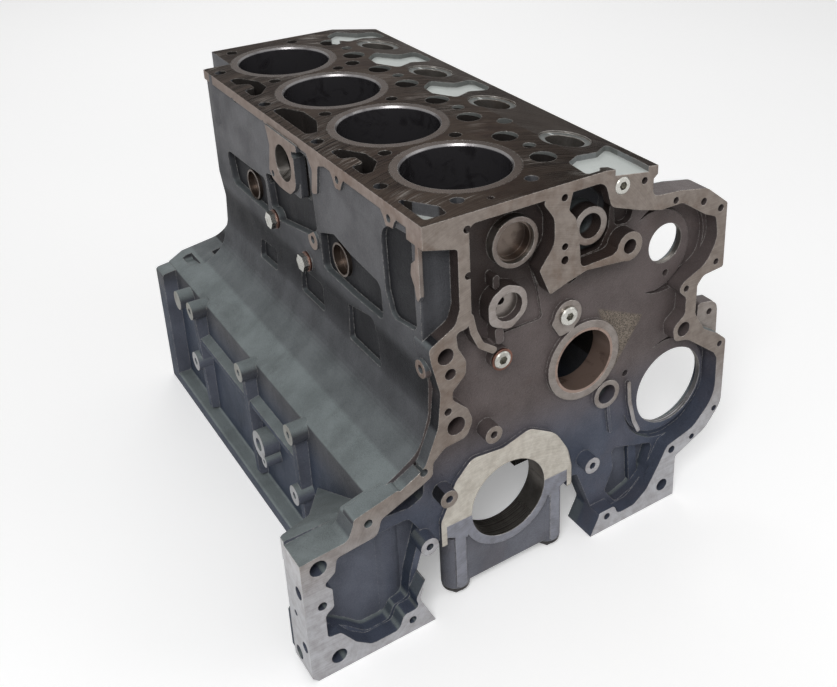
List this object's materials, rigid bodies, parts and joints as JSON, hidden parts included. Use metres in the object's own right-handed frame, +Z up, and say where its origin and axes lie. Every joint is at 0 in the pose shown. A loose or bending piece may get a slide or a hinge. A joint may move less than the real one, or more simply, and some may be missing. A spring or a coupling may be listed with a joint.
{
  "type": "engine block",
  "caption": "Bare inline diesel engine block with wet liners, tilted pump bores beside the deck, gear case end and bearing caps.",
  "frame": {"origin": "on the crankshaft axis, at the front face of the first main bearing wall", "axes": "+Y along the crankshaft from the gear case end to the far end, +Z up from the crankshaft to the deck, +X towards the camshaft and pump side"},
  "size_m": [0.5099, 0.568, 0.43],
  "materials": {
    "casting": "raw and primed casting with machined faces",
    "liner": "honed bore, bright turned rim",
    "cap": "raw casting, machined front",
    "dark_steel": "blackened steel",
    "bush": "turned bearing metal",
    "pressed_steel": "drawn steel, oiled",
    "zinc_steel": "bright zinc plate",
    "copper": "soft copper"
  },
  "bodies": {
    "root": {"cylinder_block": "casting", "cylinder_liner_1": "liner", "cylinder_liner_2": "liner", "cylinder_liner_3": "liner", "cylinder_liner_4": "liner", "main_bearing_cap_1": "cap", "main_bearing_cap_2": "cap", "main_bearing_cap_3": "cap", "main_bearing_cap_4": "cap", "main_bearing_cap_5": "cap", "main_cap_bolts": "dark_steel", "camshaft_bush_1": "bush", "camshaft_bush_2": "bush", "camshaft_bush_3": "bush", "camshaft_bush_4": "bush", "camshaft_bush_5": "bush", "core_plug_side_near": "pressed_steel", "core_plug_side_far": "pressed_steel", "core_plug_gear_case": "pressed_steel", "camshaft_end_plug": "pressed_steel", "gallery_plug_upper": "zinc_steel", "gallery_plug_centre": "zinc_steel", "gallery_plug_left": "zinc_steel", "side_screws": "zinc_steel", "gallery_plug_seal": "copper", "side_screw_washers": "copper"}
  },
  "joints": []
}
